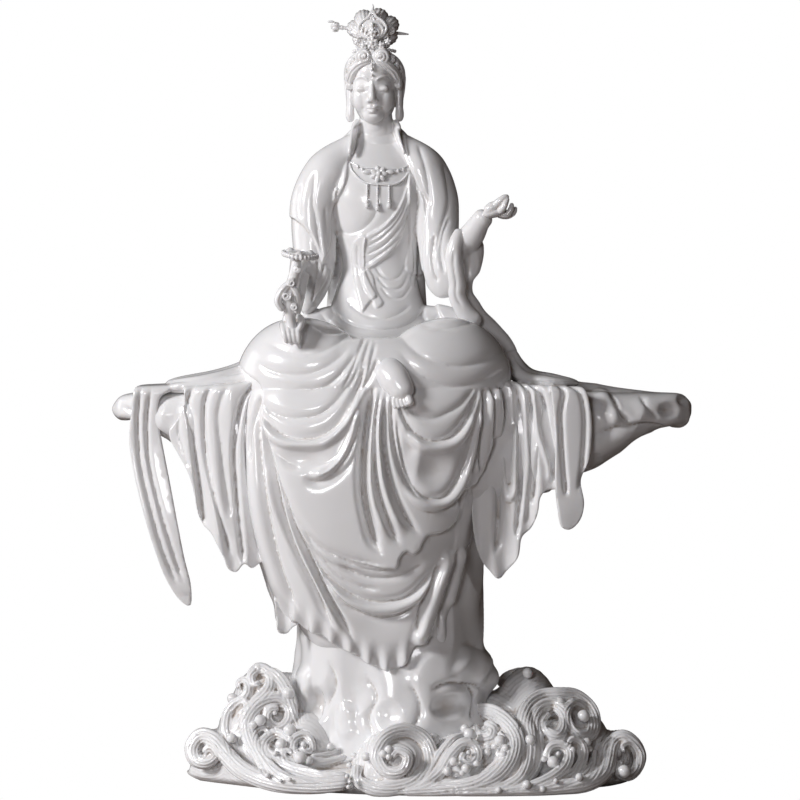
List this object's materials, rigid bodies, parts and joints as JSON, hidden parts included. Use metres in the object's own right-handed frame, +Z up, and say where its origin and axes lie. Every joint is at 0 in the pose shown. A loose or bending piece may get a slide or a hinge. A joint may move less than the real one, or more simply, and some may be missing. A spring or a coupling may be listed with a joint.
{
  "type": "seated guanyin figure on a rock and wave base",
  "caption": "Seated guanyin in flowing robes on a rock ledge above curling waves, white glazed porcelain, holding a ruyi sceptre, with a hairpin through the topknot.",
  "frame": {"origin": "on the underside, below the middle of the whole figure's box", "axes": "+Z up from the underside to the crown, -Y to the front, +X to the right of someone who faces the figure"},
  "size_m": [0.456, 0.208, 0.6069],
  "materials": {
    "porcelain": "clear glossy glaze over white porcelain",
    "sceptre_porcelain": "clear glossy glaze over white porcelain",
    "hairpin_porcelain": "clear glossy glaze over white porcelain"
  },
  "bodies": {
    "root": {"guanyin_on_rock": "porcelain", "ruyi_sceptre": "sceptre_porcelain", "hairpin": "hairpin_porcelain"}
  },
  "joints": []
}
